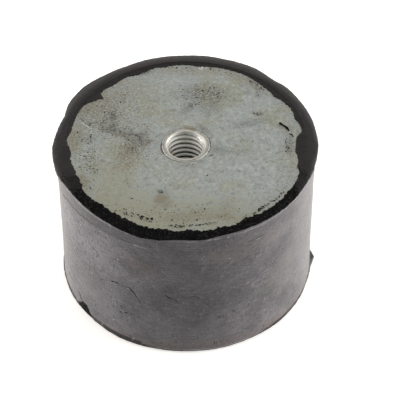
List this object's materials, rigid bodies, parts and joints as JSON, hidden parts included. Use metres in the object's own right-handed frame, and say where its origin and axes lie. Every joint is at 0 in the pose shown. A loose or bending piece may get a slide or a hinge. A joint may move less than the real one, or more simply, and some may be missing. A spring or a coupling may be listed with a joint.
{
  "type": "rubber buffer",
  "caption": "Cylindrical rubber-to-metal buffer with a bonded steel disc and a blind threaded bush at each end, for mounting machines against shock and vibration.",
  "frame": {"origin": "centre of the lower rubber face, where the buffer stands", "axes": "+Z along the buffer's axis, from the lower face to the upper one; -Y towards the viewer of the picture"},
  "size_m": [0.078, 0.0775, 0.05],
  "materials": {
    "rubber": "moulded black rubber with a grey bloom on the side and a knife-trimmed rim",
    "zinc_plate": "matt zinc plating, stained, with specks of rubber",
    "turned_bush": "bright turned and zinc-plated steel"
  },
  "bodies": {
    "root": {"rubber_body": "rubber", "top_plate": "zinc_plate", "top_bush": "turned_bush", "bottom_plate": "zinc_plate", "bottom_bush": "turned_bush"}
  },
  "joints": []
}
